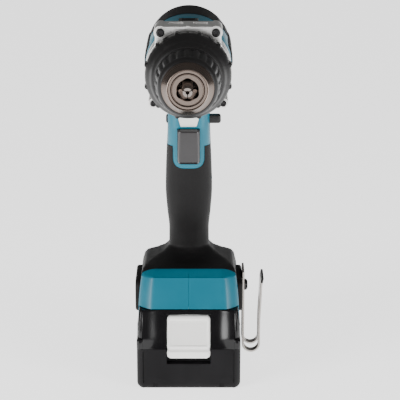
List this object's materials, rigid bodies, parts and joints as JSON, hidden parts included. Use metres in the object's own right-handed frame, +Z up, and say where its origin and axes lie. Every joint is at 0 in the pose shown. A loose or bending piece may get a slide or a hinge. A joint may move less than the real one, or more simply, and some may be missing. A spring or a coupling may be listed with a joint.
{
  "type": "cordless drill",
  "caption": "Pistol-grip cordless drill driver with keyless chuck, clutch dial, two-speed gearbox, trigger, direction lever, work lamp, belt hook and slide-on battery pack.",
  "frame": {"origin": "centre of the battery pack's flat base, on which the tool stands", "axes": "+Z up, -Y forwards along the spindle towards the chuck, +X to the side that carries the belt hook"},
  "size_m": [0.095, 0.176, 0.2631],
  "materials": {
    "teal_shell": "satin moulded glass-filled nylon",
    "black_rubber": "fine-textured soft overmould",
    "black_plastic": "fine spark-eroded texture",
    "black_gloss": "polished",
    "white_button": "semi-gloss",
    "cast_aluminium": "fine blasted die casting",
    "chuck_metal": "turned and satin nickel plated",
    "jaw_steel": "ground",
    "gear_steel": "sintered and greased",
    "dark_screw": "black oxide",
    "hook_steel": "bright zinc plated",
    "lamination_steel": "stacked laminations",
    "copper": "enamelled wire",
    "insert_brass": "knurled or plated",
    "circuit_board": "coated",
    "lens_clear": "frosted",
    "cell_wrap": "shrink wrap"
  },
  "bodies": {
    "housing": {"housing_right": "teal_shell", "housing_left": "teal_shell", "grip_right": "black_rubber", "grip_left": "black_rubber", "housing_screws": "dark_screw", "gear_housing": "cast_aluminium", "gear_housing_screws": "dark_screw", "motor_plate": "cast_aluminium", "ring_gear_1": "gear_steel", "ring_gear_3": "gear_steel", "stator_core": "lamination_steel", "stator_coils": "copper", "sensor_board": "circuit_board", "bearings": "gear_steel", "switch_body": "black_plastic", "lamp_lens": "lens_clear", "controller_board": "circuit_board", "terminal_block": "black_plastic", "terminal_blades": "insert_brass", "belt_hook": "hook_steel", "belt_hook_screw": "dark_screw", "hook_inserts": "insert_brass", "clutch_washer": "gear_steel", "clutch_pins": "gear_steel", "clutch_spring": "gear_steel"},
    "speed_slider": {"speed_lever": "black_plastic", "ring_gear_2": "gear_steel"},
    "direction_lever": {"direction_lever": "black_plastic"},
    "trigger": {"trigger": "black_plastic"},
    "rotor": {"rotor_shaft": "gear_steel", "rotor_core": "lamination_steel", "fan": "black_plastic"},
    "carrier_1": {"carrier_1": "gear_steel"},
    "carrier_2": {"carrier_2": "gear_steel"},
    "spindle": {"spindle": "gear_steel", "chuck_body": "chuck_metal", "chuck_screw": "dark_screw"},
    "chuck_sleeve": {"chuck_sleeve": "chuck_metal", "chuck_grip": "black_plastic", "chuck_nut": "jaw_steel"},
    "clutch_dial": {"clutch_dial": "black_plastic"},
    "clutch_nut": {"clutch_nut": "gear_steel"},
    "battery": {"battery_lower": "black_plastic", "battery_upper": "black_gloss", "battery_cells": "cell_wrap", "battery_board": "circuit_board", "battery_screws": "dark_screw"},
    "battery_button": {"battery_button": "white_button"},
    "planet_1_1": {"planet_1_1": "gear_steel"},
    "planet_1_2": {"planet_1_2": "gear_steel"},
    "planet_1_3": {"planet_1_3": "gear_steel"},
    "planet_2_1": {"planet_2_1": "gear_steel"},
    "planet_2_2": {"planet_2_2": "gear_steel"},
    "planet_2_3": {"planet_2_3": "gear_steel"},
    "planet_3_1": {"planet_3_1": "gear_steel"},
    "planet_3_2": {"planet_3_2": "gear_steel"},
    "planet_3_3": {"planet_3_3": "gear_steel"},
    "chuck_jaw_1": {"chuck_jaw_1": "jaw_steel"},
    "chuck_jaw_2": {"chuck_jaw_2": "jaw_steel"},
    "chuck_jaw_3": {"chuck_jaw_3": "jaw_steel"}
  },
  "joints": [
    {"name": "rotor_spin", "type": "hinge", "parent": "housing", "child": "rotor", "pos_m": [0, 0, 0.23], "axis": [0, 1, 0], "continuous": true},
    {"name": "carrier_1_spin", "type": "hinge", "parent": "housing", "child": "carrier_1", "pos_m": [0, 0, 0.23], "axis": [0, 1, 0], "continuous": true},
    {"name": "carrier_2_spin", "type": "hinge", "parent": "housing", "child": "carrier_2", "pos_m": [0, 0, 0.23], "axis": [0, 1, 0], "continuous": true},
    {"name": "spindle_spin", "type": "hinge", "parent": "housing", "child": "spindle", "pos_m": [0, 0, 0.23], "axis": [0, 1, 0], "continuous": true},
    {"name": "planet_1_1_spin", "type": "hinge", "parent": "carrier_1", "child": "planet_1_1", "pos_m": [0.01238, 0, 0.23], "axis": [0, 1, 0], "continuous": true},
    {"name": "planet_1_2_spin", "type": "hinge", "parent": "carrier_1", "child": "planet_1_2", "pos_m": [-0.00619, 0, 0.24072], "axis": [0, 1, 0], "continuous": true},
    {"name": "planet_1_3_spin", "type": "hinge", "parent": "carrier_1", "child": "planet_1_3", "pos_m": [-0.00619, 0, 0.21928], "axis": [0, 1, 0], "continuous": true},
    {"name": "planet_2_1_spin", "type": "hinge", "parent": "carrier_2", "child": "planet_2_1", "pos_m": [0.01238, 0, 0.23], "axis": [0, 1, 0], "continuous": true},
    {"name": "planet_2_2_spin", "type": "hinge", "parent": "carrier_2", "child": "planet_2_2", "pos_m": [-0.00619, 0, 0.24072], "axis": [0, 1, 0], "continuous": true},
    {"name": "planet_2_3_spin", "type": "hinge", "parent": "carrier_2", "child": "planet_2_3", "pos_m": [-0.00619, 0, 0.21928], "axis": [0, 1, 0], "continuous": true},
    {"name": "planet_3_1_spin", "type": "hinge", "parent": "spindle", "child": "planet_3_1", "pos_m": [0.0135, 0, 0.23], "axis": [0, 1, 0], "continuous": true},
    {"name": "planet_3_2_spin", "type": "hinge", "parent": "spindle", "child": "planet_3_2", "pos_m": [-0.00675, 0, 0.24169], "axis": [0, 1, 0], "continuous": true},
    {"name": "planet_3_3_spin", "type": "hinge", "parent": "spindle", "child": "planet_3_3", "pos_m": [-0.00675, 0, 0.21831], "axis": [0, 1, 0], "continuous": true},
    {"name": "chuck_sleeve_turn", "type": "hinge", "parent": "spindle", "child": "chuck_sleeve", "pos_m": [0, 0, 0.23], "axis": [0, 1, 0], "range_deg": [0, 3600]},
    {"name": "chuck_jaw_1_slide", "type": "slide", "parent": "spindle", "child": "chuck_jaw_1", "axis": [0, 0.9613, 0.2756], "range_m": [0, 0.0187]},
    {"name": "chuck_jaw_2_slide", "type": "slide", "parent": "spindle", "child": "chuck_jaw_2", "axis": [0.2387, 0.9613, -0.1378], "range_m": [0, 0.0187]},
    {"name": "chuck_jaw_3_slide", "type": "slide", "parent": "spindle", "child": "chuck_jaw_3", "axis": [-0.2387, 0.9613, -0.1378], "range_m": [0, 0.0187]},
    {"name": "clutch_dial_turn", "type": "hinge", "parent": "housing", "child": "clutch_dial", "pos_m": [0, 0, 0.23], "axis": [0, 1, 0], "range_deg": [0, 330]},
    {"name": "clutch_nut_slide", "type": "slide", "parent": "clutch_dial", "child": "clutch_nut", "axis": [0, 1, 0], "range_m": [0, 0.003], "deforming": ["clutch_spring"]},
    {"name": "trigger_pull", "type": "slide", "parent": "housing", "child": "trigger", "axis": [0, 1, 0], "range_m": [0, 0.006], "stiffness_N_per_m": 800, "springref_m": -0.003},
    {"name": "direction_slide", "type": "slide", "parent": "housing", "child": "direction_lever", "axis": [1, 0, 0], "range_m": [-0.0069, 0]},
    {"name": "speed_slide", "type": "slide", "parent": "housing", "child": "speed_slider", "axis": [0, 1, 0], "range_m": [0, 0.006]},
    {"name": "battery_slide", "type": "slide", "parent": "housing", "child": "battery", "axis": [0, -1, 0], "range_m": [0, 0.09]},
    {"name": "battery_button_press", "type": "slide", "parent": "battery", "child": "battery_button", "axis": [0, 0, -1], "range_m": [0, 0.004], "stiffness_N_per_m": 900, "springref_m": -0.002}
  ],
  "couplings": [
    {"joint": "carrier_1_spin", "follows": "rotor_spin", "ratio": 0.27273},
    {"joint": "carrier_2_spin", "follows": "rotor_spin", "ratio": 0.07438},
    {"joint": "spindle_spin", "follows": "rotor_spin", "ratio": 0.024793},
    {"joint": "planet_1_1_spin", "follows": "rotor_spin", "ratio": -0.87273},
    {"joint": "planet_1_2_spin", "follows": "rotor_spin", "ratio": -0.87273},
    {"joint": "planet_1_3_spin", "follows": "rotor_spin", "ratio": -0.87273},
    {"joint": "planet_2_1_spin", "follows": "rotor_spin", "ratio": -0.23802},
    {"joint": "planet_2_2_spin", "follows": "rotor_spin", "ratio": -0.23802},
    {"joint": "planet_2_3_spin", "follows": "rotor_spin", "ratio": -0.23802},
    {"joint": "planet_3_1_spin", "follows": "rotor_spin", "ratio": -0.099174},
    {"joint": "planet_3_2_spin", "follows": "rotor_spin", "ratio": -0.099174},
    {"joint": "planet_3_3_spin", "follows": "rotor_spin", "ratio": -0.099174},
    {"joint": "chuck_jaw_1_slide", "follows": "chuck_sleeve_turn", "m_per_rad": 0.0002976},
    {"joint": "chuck_jaw_2_slide", "follows": "chuck_sleeve_turn", "m_per_rad": 0.0002976},
    {"joint": "chuck_jaw_3_slide", "follows": "chuck_sleeve_turn", "m_per_rad": 0.0002976},
    {"joint": "clutch_nut_slide", "follows": "clutch_dial_turn", "m_per_rad": 0.0005207}
  ]
}
